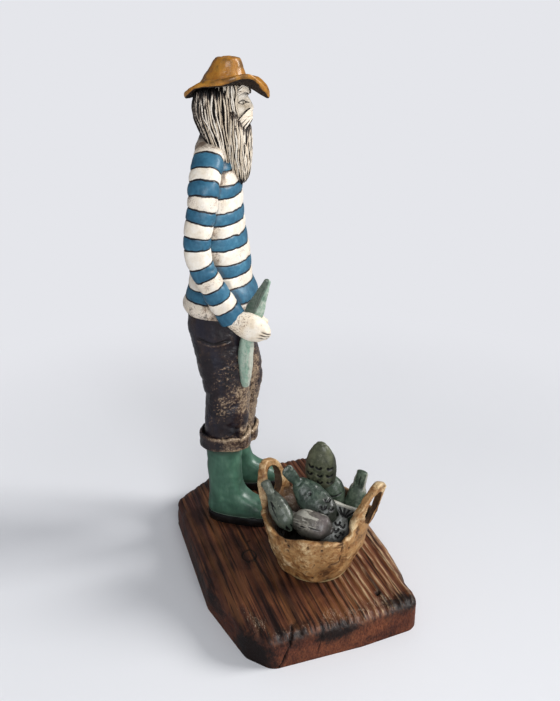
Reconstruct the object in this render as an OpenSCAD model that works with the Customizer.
// Fisherman figurine: a bearded figure in glazed ceramic, holding a fish, with a
// basket of fish at its feet, on a weathered plank.
// Sizes are in millimetres. Origin: middle of the plank's underside. +X runs across
// the plank to the side the figure faces, +Y along the plank from the basket to the
// figure, +Z up. The figure has a frame of its own: x forward, y to its left, z up
// from the top of the plank.

/* [Board] */
// Width of the plank across the grain
board_w = 110; // [106:1:116]
// Length of the plank along the grain
board_l = 160; // [156:1:172]
// Thickness of the plank
board_t = 19; // [16:0.5:24]
// Radius of the worn upper edges
edge_r = 5.5; // [3:0.5:6.5]
// Radius of the worn corners
corner_r = 9; // [7:1:12]
// Width lost at the broken corner
broken_w = 8.5; // [4:0.5:14]
// Length lost at the broken corner
broken_l = 47; // [40:1:54]
// Width lost at the worn back corner
worn_w = 24; // [14:1:28]
// Length lost at the worn back corner
worn_l = 15; // [8:0.5:16]
// Width of a furrow worn along the grain
grain_w = 3.4; // [2.4:0.1:4.4]
// Depth of a furrow worn along the grain
grain_depth = 0.8; // [0.5:0.05:1.1]

/* [Figure] */
// Place of the figure across the plank
figure_x = -19.4; // [-22:0.2:-16]
// Place of the figure along the plank
figure_y = 47.2; // [44:0.2:49]
// Turn of the figure on the plank
figure_turn = -26; // [-32:1:-18]
// Distance between the middles of the two boots
stance = 35; // [34:0.5:37]

/* [Boots] */
// Thickness of a sole
sole_t = 5.5; // [4.5:0.25:6.5]
// Length of a boot from heel to toe
boot_l = 41; // [38:0.5:44]
// Width of a boot across the foot
boot_w = 17.5; // [16:0.25:18.5]
// Depth of a boot shaft from front to back
shaft_d = 21; // [19:0.25:22]
// Height of the foot over the instep
instep_h = 16; // [14:0.5:18]
// Angle by which the toes point outward
toe_out = 7; // [2:1:10]

/* [Trousers] */
// Height of the waist over the plank
waist_h = 134; // [130:0.5:138]
// Depth of a leg from front to back at the knee
knee_d = 27; // [25:0.25:29]
// Width of a leg at the knee
knee_w = 23; // [21.5:0.25:24]
// Depth of a leg from front to back at the seat
seat_d = 33; // [31:0.25:35]
// Forward bend of the left knee
left_knee = 3; // [0:0.5:4]
// Height over the plank of the right cuff's lower edge
right_cuff_z = 52; // [49:0.5:56]
// Height over the plank of the left cuff's lower edge
left_cuff_z = 38; // [35:0.5:42]
// Height of a turned-up cuff
cuff_h = 10; // [9:0.5:12]
// Thickness of a cuff over the trouser leg
cuff_t = 1.9; // [1.4:0.1:2.4]

/* [Shirt] */
// Height of the shirt from hem to shoulder line
shirt_h = 90; // [87:0.5:93]
// Depth of the chest from front to back
chest_d = 27; // [25:0.25:29]
// Depth of the shirt over the belly
belly_d = 36; // [34:0.25:38]
// Width of the chest without the arms
chest_w = 44; // [42:0.25:46]
// Flare of the hem beyond the belly
hem_flare = 4; // [2:0.25:5]
// Thickness of a sleeve
sleeve_d = 15; // [14:0.25:16]

/* [Hands] */
// Width of a hand across the fingers
hand_w = 15; // [14:0.25:16.5]
// Thickness of a hand
hand_t = 10; // [9:0.25:11]

/* [Head] */
// Height of the head from chin to crown
head_h = 34.5; // [33.5:0.5:35.5]
// Depth of the head from back to brow
head_d = 25.6; // [24.6:0.2:26.6]
// Width of the head
head_w = 20.4; // [19.4:0.2:21.4]
// Thickness of the hair over the head
hair_t = 3; // [2.4:0.1:3.6]
// Number of locks around the hair
hair_locks = 20; // [16:1:24]
// Length of the beard below the mouth
beard_l = 33; // [28:0.5:35]
// Number of locks around the beard
beard_locks = 15; // [12:1:18]

/* [Hat] */
// Height of the crown over the brim
crown_h = 12.5; // [11.5:0.5:14]
// Depth of the crown from front to back at its foot
crown_d = 24.4; // [23.6:0.2:26]
// Width of the brim
brim_w = 9.8; // [8.4:0.2:11]
// Thickness of the brim at its edge
brim_t = 3; // [2.4:0.1:3.6]
// Strength of the wave in the brim
brim_wave = 1; // [0.6:0.05:1.3]

/* [Basket] */
// Place of the basket across the plank
basket_x = 9; // [6:0.2:14]
// Place of the basket along the plank
basket_y = -28; // [-32:0.5:-26]
// Diameter of the basket at the foot
basket_foot_d = 43; // [40:0.5:46]
// Diameter of the basket at the rim
basket_rim_d = 63; // [60:0.5:66]
// Height of the basket at the rim
basket_h = 35; // [33:0.5:38]
// Thickness of the basket wall
basket_wall = 4.8; // [4.2:0.1:5.4]
// Height of the right handle over the rim
right_handle_h = 24; // [21:0.5:26]
// Height of the left handle over the rim
left_handle_h = 23.5; // [21:0.5:26]
// Width of a handle along the rim
handle_span = 27; // [25:0.5:29]
// Thickness of a handle around its opening
handle_t = 6.2; // [5.4:0.1:7]
// Thickening of the wall into a handle
handle_swell = 0.8; // [0.4:0.1:1.2]
// Direction of the right handle from the middle of the basket
right_handle = -45; // [-54:1:-38]
// Direction of the left handle from the middle of the basket
left_handle = 127; // [120:1:134]

/* [Fish] */
// Length of the fish in the hand
held_fish_l = 62; // [58:0.5:66]
// Depth of the body of the fish in the hand
held_fish_w = 9; // [8.5:0.1:10.5]
// Thickness of the fish in the hand
held_fish_t = 6.5; // [5.5:0.1:7.5]
// Length of a fish in the basket
fish_l = 46; // [44:0.5:48]
// Depth of the body of a fish in the basket
fish_w = 16; // [15:0.25:17]
// Thickness of a fish in the basket
fish_t = 10; // [9:0.25:11]

/* [Fixings] */
// Diameter of a leg stud
stud_d = 4; // [3:0.5:5]
// Length of a leg stud above the plank
stud_up = 30; // [24:1:34]
// Outer diameter of a stud washer
washer_d = 9; // [8:0.5:10]
// Thickness of a stud washer
washer_t = 0.8; // [0.6:0.1:1.2]
// Width of a stud nut across its flats
nut_af = 7; // [6.5:0.5:8]
// Height of a stud nut
nut_h = 3.2; // [2.4:0.2:4]
// Diameter of the recess for a nut under the plank
recess_d = 12; // [11.5:0.5:14]
// Thickness of the glue bed under the basket
glue_t = 0.6; // [0.4:0.1:1]
// Gap left between pieces that seat on one another
fit = 0.15; // [0.1:0.05:0.25]
// Gap all round a stud in its hole
stud_gap = 0.2; // [0.1:0.05:0.3]

/* [Hidden] */

// Levels of the figure over the plank
shoulder_z = waist_h + shirt_h;
chin_z = shoulder_z + 5;
crown_z = chin_z + head_h;
brim_z = crown_z - 10;
nut_depth = washer_t + nut_h + 3;
knee_z = waist_h * 0.63;
boot_lap = 5;

// Smooth curve through four stations, t from 0 to 1 between the middle two
function bend(a, b, c, d, t) = 0.5 * (2 * b + (c - a) * t
  + (2 * a - 5 * b + 4 * c - d) * t * t + (3 * b - a - 3 * c + d) * t * t * t);

// Stations of a smooth form, k steps between each pair of given stations
function smooth(s, k) = [
  for (i = [0 : len(s) - 2])
    for (j = [0 : k - 1])
      bend(s[max(i - 1, 0)], s[i], s[i + 1], s[min(i + 2, len(s) - 1)], j / k),
  s[len(s) - 1]
];

// Cosine or sine drawn toward a square by a power under one
function square_up(c, p) = sign(c) * pow(abs(c), p);

// Level ring of an upright form; station: z, back, front, half width, middle y, slope
function level_ring(s, n, p, g, locks, depth) = [
  for (i = [0 : n - 1])
    let (a = 360 * i / n,
      r = 1 - depth * (1 - abs(cos(a * locks / 2))),
      x = (s[1] + s[2]) / 2 + ((s[2] - s[1]) / 2 + g) * r * square_up(cos(a), p),
      y = s[4] + (s[3] + g) * r * square_up(sin(a), p))
    [x, y, s[0] + s[5] * x]
];

function unit(v) = v / norm(v);

// Ring square to a path; station: x, y, z, half size across, half size along ref
function path_ring(s, t, ref, n, p, g) =
  let (u = unit(cross(ref, t)), v = cross(t, u))
  [
    for (i = [0 : n - 1])
      [s[0], s[1], s[2]] + u * (s[3] + g) * square_up(cos(360 * i / n), p)
        + v * (s[4] + g) * square_up(sin(360 * i / n), p)
  ];

function place(s) = [s[0], s[1], s[2]];

// Rings of a form that follows a path of stations
function path_rings(s, ref, n, p, g) = [
  for (i = [0 : len(s) - 1])
    let (t = unit(place(s[min(i + 1, len(s) - 1)]) - place(s[max(i - 1, 0)])))
    path_ring(s[i], t, ref, n, p, g)
];

// Closed skin over a stack of rings
module skin(rings) {
  n = len(rings[0]);
  m = len(rings);
  points = [for (r = rings) for (v = r) v];
  sides = [
    for (i = [0 : m - 2])
      for (j = [0 : n - 1])
        for (f = [0, 1])
          let (k = (j + 1) % n)
          f == 0 ? [i * n + j, (i + 1) * n + j, (i + 1) * n + k]
            : [i * n + j, (i + 1) * n + k, i * n + k]
  ];
  lower = [for (j = [0 : n - 1]) j];
  upper = [for (j = [n - 1 : -1 : 0]) (m - 1) * n + j];
  polyhedron(points, concat([lower], sides, [upper]), convexity = 8);
}

// Upright form with level rings
module upright(s, k = 1, n = 24, p = 0.85, g = 0, locks = 0, depth = 0)
  skin([for (q = smooth(s, k)) level_ring(q, n, p, g, locks, depth)]);

// Form along a path
module along(s, ref, k = 2, n = 14, p = 0.9, g = 0)
  skin(path_rings(smooth(s, k), ref, n, p, g));

// Pieces pressed together while soft: the first child less all the others
module pressed() resize([0, 0, 0]) difference() {
  children(0);
  children([1 : $children - 1]);
}

// Frame of the figure, standing on the plank
module on_board() translate([figure_x, figure_y, board_t]) rotate(figure_turn) children();

// Frame of one boot; side is -1 for the right and 1 for the left
module at_boot(side) translate([0, side * stance / 2, 0]) rotate(side * toe_out) children();

// Frame of the basket
module at_basket() translate([basket_x, basket_y, board_t]) children();

// Plank

module corner_post(x, y) translate([x, y, 0]) rotate_extrude($fn = 32) {
  polygon(concat([[0, 0], [corner_r - 1.5, 0], [corner_r, 1.5]],
    [for (a = [0 : 15 : 90]) [corner_r - edge_r + edge_r * cos(a),
      board_t - edge_r + edge_r * sin(a)]], [[0, board_t]]));
}

// Plank with its worn corners, from the back right corner round to the front right one
module plank() {
  x = board_w / 2 - corner_r;
  y = board_l / 2 - corner_r;
  hull() {
    corner_post(x, y);
    corner_post(-x + worn_w, y);
    corner_post(-x + 2, y - worn_l);
    corner_post(-x, -y + broken_l);
    corner_post(-x + broken_w, -y + 9);
    corner_post(-x + broken_w + 6.5, -y + 1.4);
    corner_post(x - 31, -y);
    corner_post(x - 4, -y + 1.5);
    corner_post(x, -y + 41);
  }
}

// Places of the furrows across the plank, as shares of its width
grain_lines = [-0.43, -0.35, -0.27, -0.17, 0.06, 0.13, 0.2, 0.27, 0.34, 0.41];

module grain_furrows() {
  r = (grain_w * grain_w / 4 + grain_depth * grain_depth) / (2 * grain_depth);
  for (share = grain_lines)
    translate([share * board_w, board_l / 2, board_t - grain_depth + r])
      rotate([90, 0, 0]) cylinder(r = r, h = board_l, $fn = 24);
}

module at_studs() on_board() for (side = [-1, 1]) at_boot(side) children();

module base_board() color([0.30, 0.20, 0.13]) difference() {
  plank();
  grain_furrows();
  at_studs() translate([0, 0, -board_t - 1]) {
    cylinder(d = stud_d + 2 * stud_gap, h = board_t + 2, $fn = 32);
    cylinder(d = recess_d, h = nut_depth + 1, $fn = 40);
  }
}

// Fixings

module stud() translate([0, 0, -board_t + 2])
  cylinder(d = stud_d, h = board_t - 2 + stud_up, $fn = 32);

module right_leg_stud() color([0.62, 0.62, 0.64]) on_board() at_boot(-1) stud();

module left_leg_stud() color([0.62, 0.62, 0.64]) on_board() at_boot(1) stud();

module stud_washers() color([0.66, 0.66, 0.68]) at_studs()
  translate([0, 0, -board_t + nut_depth - washer_t]) difference() {
    cylinder(d = washer_d, h = washer_t, $fn = 40);
    translate([0, 0, -1]) cylinder(d = stud_d + 2 * stud_gap, h = washer_t + 2, $fn = 32);
  }

module stud_nuts() color([0.70, 0.70, 0.72]) at_studs()
  translate([0, 0, -board_t + nut_depth - washer_t - nut_h]) difference() {
    cylinder(d = nut_af / cos(30), h = nut_h, $fn = 6);
    translate([0, 0, -1]) cylinder(d = stud_d + 0.1, h = nut_h + 2, $fn = 32);
  }

module basket_glue_bed() color([0.55, 0.48, 0.36]) at_basket()
  cylinder(d = basket_foot_d - 5, h = glue_t, $fn = 48);

// Boots

heel_x = -shaft_d / 2;
toe_x = heel_x + boot_l;

module sole(side) on_board() at_boot(side) difference() {
  upright([
    [0, heel_x - 0.2, toe_x + 0.2, boot_w / 2 + 0.2, 0, 0],
    [sole_t * 0.3, heel_x - 0.6, toe_x + 0.6, boot_w / 2 + 0.6, 0, 0],
    [sole_t * 0.7, heel_x - 0.6, toe_x + 0.6, boot_w / 2 + 0.6, 0, 0],
    [sole_t, heel_x - 0.2, toe_x + 0.2, boot_w / 2 + 0.2, 0, 0]], n = 24, p = 0.72);
  translate([0, 0, -1]) cylinder(d = stud_d + 2 * stud_gap, h = sole_t + 2, $fn = 32);
}

module right_sole() color([0.06, 0.06, 0.06]) sole(-1);

module left_sole() color([0.06, 0.06, 0.06]) sole(1);

module boot_form(top, g = 0) {
  w = boot_w / 2;
  s = shaft_d / 2;
  upright([
    [sole_t, -s, toe_x, w, 0, 0],
    [sole_t + 2.5, -s - 0.3, toe_x + 0.2, w, 0, 0],
    [sole_t + instep_h * 0.3, -s - 0.2, toe_x - 1.5, w - 0.2, 0, 0],
    [sole_t + instep_h * 0.5, -s + 0.1, toe_x - 7, w - 0.6, 0, 0],
    [sole_t + instep_h * 0.75, -s + 0.4, toe_x - 14, w - 0.8, 0, 0],
    [sole_t + instep_h, -s + 0.5, s + 2, w - 0.7, 0, 0],
    [sole_t + instep_h + 8, -s + 0.4, s, w - 0.4, 0, 0],
    [top - 6, -s, s, w + 0.1, 0, 0],
    [top, -s - 0.3, s, w + 0.3, 0, 0]], n = 24, p = 0.8, g = g);
}

module boot(side, cuff_z) on_board() at_boot(side) difference() {
  boot_form(cuff_z + boot_lap);
  cylinder(d = stud_d + 2 * stud_gap, h = stud_up + 1, $fn = 32);
}

module right_boot() color([0.28, 0.46, 0.36]) boot(-1, right_cuff_z);

module left_boot() color([0.28, 0.46, 0.36]) boot(1, left_cuff_z);

// Trousers

// Stations of a leg from the top of the boot to the waist
function leg_stations(side, low) =
  let (y = stance / 2, k = knee_w / 2, h = knee_z,
    seat_b = -0.56 * seat_d, knee_b = -0.4 * knee_d,
    f = knee_b + knee_d + (side > 0 ? left_knee : 0))
  [
    [low, knee_b - 1.4, knee_b + knee_d - 2.4, k - 1, side * (y - 1), 0],
    [(low * 2 + h) / 3, knee_b - 0.2, knee_b + knee_d - 1.6, k - 0.4, side * (y - 1.6), 0],
    [(low + h * 2) / 3, knee_b + 0.4, (knee_b + knee_d + f) / 2 - 0.8, k - 0.2,
      side * (y - 2.1), 0],
    [h, knee_b, f, k, side * (y - 2.9), 0],
    [h + 0.25 * (waist_h - h), knee_b - 2, (knee_b + knee_d + f) / 2, k + 0.5,
      side * (k + 2.6), 0],
    [h + 0.5 * (waist_h - h), seat_b + 3, seat_b + seat_d + 1, k + 0.9, side * (k + 1.7), 0],
    [h + 0.78 * (waist_h - h), seat_b + 0.4, seat_b + seat_d + 0.3, k + 0.9,
      side * (k + 1.1), 0],
    [waist_h, seat_b, seat_b + seat_d, k + 0.4, side * (k + 0.5), 0]
  ];

module leg_form(side, cuff_z, g = 0)
  upright(leg_stations(side, cuff_z + boot_lap), k = 2, n = 20, p = 0.84, g = g);

module trouser_leg(side, cuff_z) on_board() leg_form(side, cuff_z);

module right_trouser_leg() color([0.16, 0.13, 0.11]) trouser_leg(-1, right_cuff_z);

module left_trouser_leg() color([0.16, 0.13, 0.11]) trouser_leg(1, left_cuff_z);

module cuff_form(side, z) {
  s = leg_stations(side, z + boot_lap)[0];
  b = s[1] - cuff_t;
  f = s[2] + cuff_t;
  w = s[3] + cuff_t;
  upright([
    [z, b + 0.8, f - 0.8, w - 0.8, s[4], 0],
    [z + 0.12 * cuff_h, b - 0.1, f + 0.1, w + 0.1, s[4], 0],
    [z + 0.5 * cuff_h, b, f, w, s[4], 0],
    [z + 0.88 * cuff_h, b - 0.2, f + 0.5, w + 0.2, s[4], 0],
    [z + cuff_h, b + 0.8, f - 0.2, w - 0.6, s[4], 0]], p = 0.84);
}

module cuff(side, z) on_board() pressed() {
  cuff_form(side, z);
  leg_form(side, z, fit);
  at_boot(side) boot_form(z + boot_lap + fit, fit);
}

module right_cuff() color([0.20, 0.16, 0.13]) cuff(-1, right_cuff_z);

module left_cuff() color([0.20, 0.16, 0.13]) cuff(1, left_cuff_z);

// Shirt

chest_b = -0.53 * chest_d;
belly_b = -0.53 * belly_d;

// Torso with its neck
module torso_form(g = 0) {
  z = waist_h;
  h = shirt_h;
  w = chest_w / 2;
  f = hem_flare;
  upright([
    [z, belly_b - f + 1.5, belly_b + belly_d + f - 1.5, w + f - 1.5, 0, 0],
    [z + 0.05 * h, belly_b - f, belly_b + belly_d + f, w + f, 0, 0],
    [z + 0.13 * h, belly_b - 0.4 * f, belly_b + belly_d + 0.4 * f, w + 0.4 * f, 0, 0],
    [z + 0.21 * h, belly_b, belly_b + belly_d - 1, w + 0.3, 0, 0],
    [z + 0.35 * h, (chest_b + belly_b) / 2, (chest_b + belly_b) / 2 + (chest_d + belly_d) / 2,
      w, 0, 0],
    [z + 0.5 * h, chest_b - 1, chest_b + chest_d, w, 0, 0],
    [z + 0.66 * h, chest_b, chest_b + chest_d - 1, w, 0, 0],
    [z + 0.79 * h, chest_b + 0.8, chest_b + chest_d - 1.4, w - 1, 0, 0],
    [z + 0.87 * h, chest_b + 0.7, chest_b + chest_d - 3.4, w - 4, 0, 0],
    [z + 0.94 * h, chest_b + 1, chest_b + chest_d - 5.4, w - 8, 0, 0],
    [z + h, chest_b + 1.6, chest_b + chest_d - 7, w * 0.5, 0, 0],
    [z + h + 4, chest_b + 3.2, chest_b + chest_d - 7, w * 0.4, 0, 0],
    [z + h + 10, chest_b + 5.6, chest_b + chest_d - 6, w * 0.36, 0, 0]],
    n = 26, p = 0.84, g = g);
}

module shirt_body() color([0.24, 0.42, 0.56]) on_board() torso_form();

// Sleeve stations: place of the middle line and the two half sizes
shoulder_y = chest_w / 2;
arm_r = sleeve_d / 2;

function right_arm() = [
  [-3.4, -shoulder_y + 16, shoulder_z - 0.5, arm_r + 0.2, arm_r - 2.6],
  [-3.6, -shoulder_y + 7, shoulder_z - 5.5, arm_r + 0.9, arm_r - 1.2],
  [-4.2, -shoulder_y - 1.5, shoulder_z - 15, arm_r + 0.8, arm_r - 0.3],
  [-4.8, -shoulder_y - 5.5, shoulder_z - 26, arm_r + 0.2, arm_r],
  [-8, -shoulder_y - 7.5, shoulder_z - 43, arm_r - 0.4, arm_r - 0.3],
  [-6.8, -shoulder_y - 7.5, waist_h + 34, arm_r - 0.4, arm_r - 0.2],
  [0.4, -shoulder_y - 4.5, waist_h + 17, arm_r - 0.4, arm_r - 0.6],
  [8.4, -shoulder_y - 1, waist_h + 1.5, arm_r + 0.3, arm_r - 0.8]
];

function left_arm() = [
  [-3.4, shoulder_y - 16, shoulder_z - 0.5, arm_r + 0.2, arm_r - 2.6],
  [-3.6, shoulder_y - 7, shoulder_z - 5.5, arm_r + 0.9, arm_r - 1.2],
  [-4.2, shoulder_y - 0.5, shoulder_z - 15, arm_r + 0.8, arm_r - 0.3],
  [-4.8, shoulder_y + 2.2, shoulder_z - 26, arm_r + 0.2, arm_r],
  [-6.5, shoulder_y + 3.2, shoulder_z - 43, arm_r - 0.4, arm_r - 0.3],
  [-5, shoulder_y + 3.2, waist_h + 33, arm_r - 0.2, arm_r - 0.4],
  [-1, shoulder_y + 3.4, waist_h + 14, arm_r - 0.6, arm_r - 0.8],
  [1.5, shoulder_y + 3.6, waist_h, arm_r - 0.4, arm_r - 0.8]
];

module arm_form(s, g = 0) along(s, [0, 1, 0], n = 16, p = 0.92, g = g);

module right_sleeve() color([0.24, 0.42, 0.56]) on_board() pressed() {
  arm_form(right_arm());
  torso_form(fit);
}

module left_sleeve() color([0.24, 0.42, 0.56]) on_board() pressed() {
  arm_form(left_arm());
  torso_form(fit);
}

// Hands

function right_palm() =
  let (e = right_arm()[7], w = hand_w / 2, t = hand_t / 2)
  [
    [e[0] - 1.6, e[1] - 1.2, e[2] + 1.8, w * 0.62, t * 0.8],
    [e[0] + 2.8, e[1] - 2, e[2] - 0.8, w * 0.8, t * 0.95],
    [e[0] + 7.5, e[1] - 2.2, e[2] - 3, w, t],
    [e[0] + 12.5, e[1] - 1.8, e[2] - 5.4, w * 0.97, t * 0.98],
    [e[0] + 16.8, e[1] - 0.8, e[2] - 8, w * 0.76, t * 0.85],
    [e[0] + 19.2, e[1] + 0.4, e[2] - 10, w * 0.36, t * 0.4]
  ];

function left_palm() =
  let (e = left_arm()[7], w = hand_w / 2, t = hand_t / 2)
  [
    [e[0] - 0.5, e[1], e[2] + 3, w * 0.56, t * 0.8],
    [e[0] + 0.8, e[1] - 0.2, e[2] - 4, w * 0.66, t * 0.9],
    [e[0] + 2.2, e[1] - 0.6, e[2] - 11, w * 0.92, t],
    [e[0] + 3.4, e[1] - 1.2, e[2] - 17, w * 0.9, t * 0.95],
    [e[0] + 4.4, e[1] - 2, e[2] - 22, w * 0.7, t * 0.8],
    [e[0] + 4.8, e[1] - 2.4, e[2] - 25, w * 0.3, t * 0.4]
  ];

module right_hand() color([0.86, 0.78, 0.68]) on_board() pressed() {
  along(right_palm(), [0, 1, 0]);
  arm_form(right_arm(), fit);
  torso_form(fit);
  leg_form(-1, right_cuff_z, fit);
  at_held_fish() held_fish_form(fit);
}

module left_hand() color([0.86, 0.78, 0.68]) on_board() pressed() {
  along(left_palm(), [0, 1, 0]);
  arm_form(left_arm(), fit);
  torso_form(fit);
  leg_form(1, left_cuff_z, fit);
}

// Fish: nose at the frame's origin, tail along +X, body depth along Y

// curl bends the tail to one side, sway along the body depth; full rounds the body out
// toward the tail, neck is the share of the depth before the tail, tail that at its end
module fish_form(l, w, t, curl = 0, tail = 0.98, snout = 0.3, g = 0, full = 0,
    neck = 0.42, sway = 0) {
  b = w / 2;
  c = t / 2;
  along([
    [0, 0, 0, c * snout, b * snout],
    [l * 0.05, 0, curl * 0.05, c * (0.36 + snout * 0.8), b * (0.28 + snout * 0.8)],
    [l * 0.16, 0, curl * 0.1, c * 0.94, b * 0.84],
    [l * 0.34, 0, curl * 0.05, c, b],
    [l * 0.55, sway * 0.12, 0, c * (0.8 + 0.14 * full), b * (0.82 + 0.16 * full)],
    [l * 0.72, sway * 0.36, curl * 0.15, c * (0.5 + 0.2 * full), b * (neck + 0.08 + 0.2 * full)],
    [l * 0.8, sway * 0.54, curl * 0.35, c * 0.38, b * neck],
    [l * 0.9, sway * 0.76, curl * 0.7, c * 0.36, b * (neck * 0.45 + tail * 0.55)],
    [l, sway, curl, c * 0.3, b * tail]], [0, 1, 0], k = 1, n = 14, p = 0.95, g = g);
}

// The fish in the hand lies along the thigh, tail up
module at_held_fish() {
  e = right_arm()[7];
  translate([e[0] + 6.2, e[1] + 0.4, waist_h - 39.5]) rotate([0, -88, 0])
    rotate([-80, 0, 0]) children();
}

module held_fish_form(g = 0)
  fish_form(held_fish_l, held_fish_w, held_fish_t, 0, 0.42, 0.6, g, 0.4, 1, 11);

module held_fish() color([0.68, 0.70, 0.58]) on_board() pressed() {
  at_held_fish() held_fish_form();
  torso_form(fit);
  leg_form(-1, right_cuff_z, fit);
}

// Head

skull_b = -0.4 * head_d;
skull_f = skull_b + head_d;
hat_x = skull_b + 0.54 * head_d;

module head_form(g = 0) {
  w = head_w / 2;
  z = chin_z;
  h = head_h;
  upright([
    [z, skull_b + 9, skull_f - 3.4, w * 0.45, 0, 0],
    [z + 0.05 * h, skull_b + 5.5, skull_f - 1.6, w * 0.62, 0, 0],
    [z + 0.16 * h, skull_b + 3, skull_f - 0.6, w * 0.8, 0, 0],
    [z + 0.34 * h, skull_b + 0.6, skull_f - 0.2, w * 0.93, 0, 0],
    [z + 0.52 * h, skull_b, skull_f - 0.4, w * 0.98, 0, 0],
    [z + 0.68 * h, skull_b + 0.6, skull_f - 0.4, w, 0, 0],
    [z + 0.8 * h, skull_b + 2.8, skull_f - 1.6, w * 0.92, 0, 0],
    [z + 0.91 * h, skull_b + 7, skull_f - 4.4, w * 0.7, 0, 0],
    [z + h, skull_b + 11, skull_f - 8.4, w * 0.3, 0, 0]], p = 0.92, g = g);
}

module head() color([0.84, 0.74, 0.62]) on_board() pressed() {
  head_form();
  torso_form(fit);
}

module nose_form(g = 0) {
  z = chin_z + 0.52 * head_h;
  x = skull_f - 1;
  along([
    [x - 0.6, 0, z + 3.4, 1, 1.1],
    [x + 0.3, 0, z + 1.6, 1.3, 1.3],
    [x + 1.5, 0, z - 1, 1.9, 1.9],
    [x + 1.9, 0, z - 3, 2.2, 2.4],
    [x + 0.6, 0, z - 4.6, 1.7, 2]], [0, 1, 0], n = 12, g = g);
}

module nose() color([0.84, 0.74, 0.62]) on_board() pressed() {
  nose_form();
  head_form(fit);
}

module eyebrow(side) on_board() pressed() {
  z = chin_z + 0.62 * head_h;
  along([
    [skull_f - 0.9, side * 1.4, z + 0.2, 0.9, 0.9],
    [skull_f - 0.5, side * 3.4, z + 1.1, 1.2, 1.2],
    [skull_f - 1.5, side * 5.6, z + 0.9, 1.2, 1.1],
    [skull_f - 3.4, side * 7.3, z - 0.4, 0.7, 0.7]], [0, 0, 1], n = 10);
  head_form(fit);
  nose_form(fit);
}

module right_eyebrow() color([0.80, 0.74, 0.64]) eyebrow(-1);

module left_eyebrow() color([0.80, 0.74, 0.64]) eyebrow(1);

module moustache_form(g = 0) {
  z = chin_z + 0.32 * head_h;
  along([
    [skull_f - 3.4, -8.4, z - 5.4, 0.8, 0.9],
    [skull_f - 0.8, -6.4, z - 2, 1.6, 1.8],
    [skull_f + 0.9, -3, z + 0.8, 1.9, 2],
    [skull_f + 1.1, 0, z + 0.6, 1.5, 1.6],
    [skull_f + 0.9, 3, z + 0.8, 1.9, 2],
    [skull_f - 0.8, 6.4, z - 2, 1.6, 1.8],
    [skull_f - 3.4, 8.4, z - 5.4, 0.8, 0.9]], [0, 0, 1], n = 12, g = g);
}

module moustache() color([0.80, 0.74, 0.64]) on_board() pressed() {
  moustache_form();
  head_form(fit);
  nose_form(fit);
}

module beard_form(g = 0) {
  z = chin_z + 0.24 * head_h;
  w = head_w / 2;
  upright([
    [z - beard_l, skull_f - 6.4, skull_f - 2.6, 1.8, 0, 0],
    [z - 0.9 * beard_l, skull_f - 8.5, skull_f - 0.8, 4.4, 0, 0],
    [z - 0.68 * beard_l, skull_f - 11, skull_f + 0.8, 8.4, 0, 0],
    [z - 0.4 * beard_l, skull_f - 12, skull_f + 1.2, 10.4, 0, 0],
    [z - 0.12 * beard_l, skull_f - 11.4, skull_f + 1, w + 0.9, 0, 0],
    [z + 0.1 * beard_l, skull_f - 10.4, skull_f - 0.6, w + 0.6, 0, 0],
    [z + 0.2 * beard_l, skull_f - 9.6, skull_f - 3, w - 0.2, 0, 0]],
    n = 2 * beard_locks, p = 0.9, g = g, locks = beard_locks, depth = 0.07);
}

module beard() color([0.82, 0.76, 0.66]) on_board() pressed() {
  beard_form();
  head_form(fit);
  moustache_form(fit);
  torso_form(fit);
}

// Hair over the back and the sides of the head, ending on the shoulders
module hair_form(g = 0) {
  w = head_w / 2 + hair_t;
  b = skull_b - hair_t;
  upright([
    [shoulder_z - 5, b + 3, skull_f - 6.5, w - 1.8, 0, -1.36],
    [shoulder_z + 2, b + 1.6, skull_f - 6, w - 0.6, 0, -1],
    [shoulder_z + 10, b + 0.6, skull_f - 5.4, w - 0.1, 0, -0.55],
    [shoulder_z + 18, b + 0.3, skull_f - 4.6, w, 0, -0.15],
    [brim_z - 5, b + 1.2, skull_f - 4.4, w - 0.3, 0, 0],
    [brim_z, b + 2.4, skull_f - 5.6, w - 2.2, 0, 0],
    [brim_z + 2, b + 4.4, skull_f - 8.4, w - 5, 0, 0]],
    n = 2 * hair_locks, p = 0.9, g = g, locks = hair_locks, depth = 0.06);
}

module hair() color([0.82, 0.76, 0.66]) on_board() pressed() {
  hair_form();
  head_form(fit);
  torso_form(fit);
  arm_form(right_arm(), fit);
  arm_form(left_arm(), fit);
  beard_form(fit);
  moustache_form(fit);
}

// Hat

// Rise and fall of the brim edge around the head, from the front round to the back
function brim_lift(a) = brim_wave
  * (0.4 * cos(a) - 3.4 * cos(2 * a) - 1.2 * cos(3 * a) - 2 * cos(4 * a) - 2 * sin(a)
  - 2.8 * max(0, -cos(a)) * pow(sin(2 * a), 2));

// Ring of the hat: half depth, half width, level, share of the brim's wave, middle
function hat_ring(q, n) = [
  for (i = [0 : n - 1])
    let (a = 360 * i / n)
    [hat_x + q[4] + q[0] * cos(a), q[1] * sin(a), q[2] + q[3] * brim_lift(a)]
];

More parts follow.
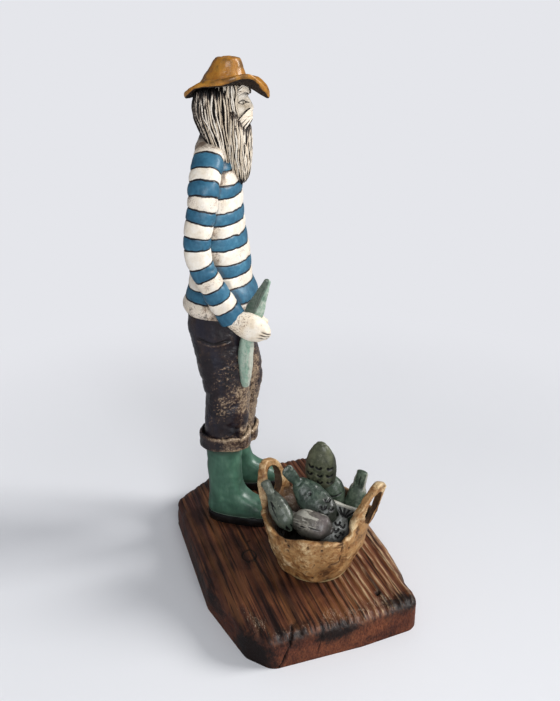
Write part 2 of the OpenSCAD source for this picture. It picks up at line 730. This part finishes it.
module hat_form() {
  c = crown_d / 2;
  d = c - 1;
  e = d + 0.78 * brim_w;
  f = c + brim_w;
  z = brim_z;
  t = z + brim_t;
  skin([for (q = [
    [c * 0.5, d * 0.5, z + 1.2, 0.05, 0],
    [c - 0.8, d - 0.6, z + 1, 0.15, 0.3],
    [c + 0.5 * brim_w, d + 0.4 * brim_w, z - 0.4, 0.65, 0.9],
    [f - 0.9, e - 0.9, z - 1.2, 1, 1.1],
    [f, e, z - 1.2 + 0.5 * brim_t, 1, 1.1],
    [f - 0.9, e - 0.9, t - 1.2, 1, 1.1],
    [c + 0.45 * brim_w, d + 0.36 * brim_w, t - 0.2, 0.6, 0.8],
    [c + 0.2, d + 0.1, t + 1, 0.2, 0.1],
    [c - 1.4, d - 1.2, t + 0.28 * crown_h, 0.05, 0.4],
    [c - 3.5, d - 2.8, t + 0.52 * crown_h, 0, 1.3],
    [c - 5, d - 4.2, t + 0.82 * crown_h, 0, 1.8],
    [c - 6.4, d - 5.6, t + 0.95 * crown_h, 0, 2],
    [c - 9, d - 8, t + crown_h, 0, 2.1]]) hat_ring(q, 30)]);
}

module hat() color([0.70, 0.47, 0.20]) on_board() pressed() {
  hat_form();
  head_form(fit);
  hair_form(fit);
}

// Basket

foot_r = basket_foot_d / 2;
rim_r = basket_rim_d / 2;
ear_half = 1.15 * handle_span / basket_rim_d * 180 / PI;
hole_w = handle_span - 2.4 * handle_t;
hole_rise = 1.5;
hole_reach = basket_wall * 3.3;
tub_sides = 40;

// Share of a handle's height at an angle from the middle of that handle
function ear(d) = abs(d) < ear_half ? pow(cos(90 * d / ear_half), 0.6) : 0;

// Angle between two directions
function apart(a, b) = abs((a - b + 540) % 360 - 180);

// Rise of the rim at a direction
function rim_lift(a) = right_handle_h * ear(apart(a, right_handle))
  + left_handle_h * ear(apart(a, left_handle));

// Share of a handle at a direction
function ear_share(a) = ear(apart(a, right_handle)) + ear(apart(a, left_handle));

// Outer radius of the wall at a share of its height
function wall_radius(t) = foot_r + (rim_r - foot_r) * (1.2 * t - 0.2 * t * t);

// Ring of the wall at a share of its height, set in from the outside and dropped
function tub_ring(t, inset, drop) = [
  for (i = [0 : tub_sides - 1])
    let (a = 360 * i / tub_sides,
      up = rim_lift(a) * (t > 0.5 ? pow((t - 0.5) * 2, 2) : 0),
      swell = handle_swell * ear_share(a) * (t > 0.5 ? 1 : 0) * (inset > 2 ? -1 : 1),
      r = wall_radius(t) + up * (rim_r - foot_r) / basket_h * 0.7 - inset + swell)
    [r * cos(a), r * sin(a), glue_t + t * (basket_h - glue_t) + up - drop]
];

// Basket with its two pierced handles, made as one wall that rises into them
module tub_form(g = 0) difference() {
  w = basket_wall + g;
  f = basket_wall / (basket_h - glue_t);
  skin([
    tub_ring(0, 3, g), tub_ring(0.03, 0.5 - g, 0), tub_ring(0.12, -g, 0),
    tub_ring(0.36, -g, 0), tub_ring(0.62, -g, 0), tub_ring(0.82, -g, 0),
    tub_ring(1, -g, 2.2), tub_ring(1, 0.7 - g, 0.6 - g), tub_ring(1, w / 2, -g),
    tub_ring(1, w - 0.7, 0.6 - g), tub_ring(1, w, 2.2), tub_ring(0.82, w, 0),
    tub_ring(0.62, w, 0), tub_ring(0.36, w, 0), tub_ring(f + 0.06, w, 0),
    tub_ring(f, w + 2.5, -g)]);
  rotate(right_handle) handle_hole(right_handle_h, g);
  rotate(left_handle) handle_hole(left_handle_h, g);
}

// Opening through a handle of height h, a slot on end
module handle_hole(h, g) {
  r = hole_w / 2 - g;
  z = basket_h + hole_rise + hole_w / 2;
  rise = max(h - handle_t - hole_rise - hole_w, 0.5);
  for (up = [0, rise])
    translate([rim_r - hole_reach, 0, z + up]) rotate([0, 90, 0])
      cylinder(r = r, h = 2 * hole_reach, $fn = 24);
  translate([rim_r - hole_reach, -r, z]) cube([2 * hole_reach, 2 * r, rise]);
}

module basket_tub() color([0.62, 0.47, 0.30]) at_basket() tub_form();

// Fish in the basket: place of the nose, then turn of the spine in plan, its rise,
// the roll about the spine, share of the full length, curl and spread of the tail,
// share of the full body depth, fullness of the body and share of the neck
view_turn = -20;
function fish_places() = [
  [[2.2, 9, basket_h + 37], 80, -84, 8, 1.15, 2, 0.98, 1.12, 0, 0.42],
  [[9, 12, basket_h + 14], -60, -74, 40, 0.55, 0, 0.8, 0.78, 0, 0.42],
  [[17, 4, basket_h - 18], 36, 72, 30, 0.82, 2, 0.58, 0.72, 0.6, 0.64],
  [[9, -9.5, basket_h + 0.5], 150, 35, -40, 0.79, 8, 0.46, 1.02, 1, 0.34],
  [[-15, -12.5, basket_h - 4], 133, 48, -45, 0.62, 2, 0.44, 0.74, 0.3, 0.42],
  [[7.5, -16.5, basket_h - 1.5], 163, 9, -50, 0.58, -3, 0.5, 0.95, 1, 0.46],
  [[6.5, -14, basket_h - 21], 49, 58, 46, 0.65, 1, 1.2, 1, 0, 0.38]
];

module fish_body(i, g = 0) {
  q = fish_places()[i];
  rotate(view_turn) translate(q[0]) rotate([0, 0, q[1]]) rotate([0, -q[2], 0])
    rotate([q[3], 0, 0])
      fish_form(fish_l * q[4], fish_w * q[7], fish_t, q[5], q[6], 0.3, g, q[8], q[9]);
}

// One fish of the heap, less the basket and the fish named as lying against it
module heap_fish(i, others) color([0.42, 0.46, 0.38]) at_basket() pressed() {
  fish_body(i);
  tub_form(fit);
  for (j = others) fish_body(j, fit);
}

module upright_fish() heap_fish(0, []);

module back_fish() heap_fish(1, [0]);

module tail_up_fish() heap_fish(2, [0, 1]);

module crossing_fish() heap_fish(3, [0, 1, 2]);

module left_fish() heap_fish(4, [0, 3]);

module front_fish() heap_fish(5, [0, 3, 4]);

module fan_tail_fish() heap_fish(6, [0, 1, 2, 3, 4, 5]);

base_board();
right_leg_stud();
left_leg_stud();
stud_washers();
stud_nuts();
basket_glue_bed();
right_sole();
left_sole();
right_boot();
left_boot();
right_cuff();
left_cuff();
right_trouser_leg();
left_trouser_leg();
shirt_body();
right_sleeve();
left_sleeve();
right_hand();
left_hand();
head();
nose();
right_eyebrow();
left_eyebrow();
moustache();
beard();
hair();
hat();
held_fish();
basket_tub();
upright_fish();
back_fish();
tail_up_fish();
crossing_fish();
left_fish();
front_fish();
fan_tail_fish();
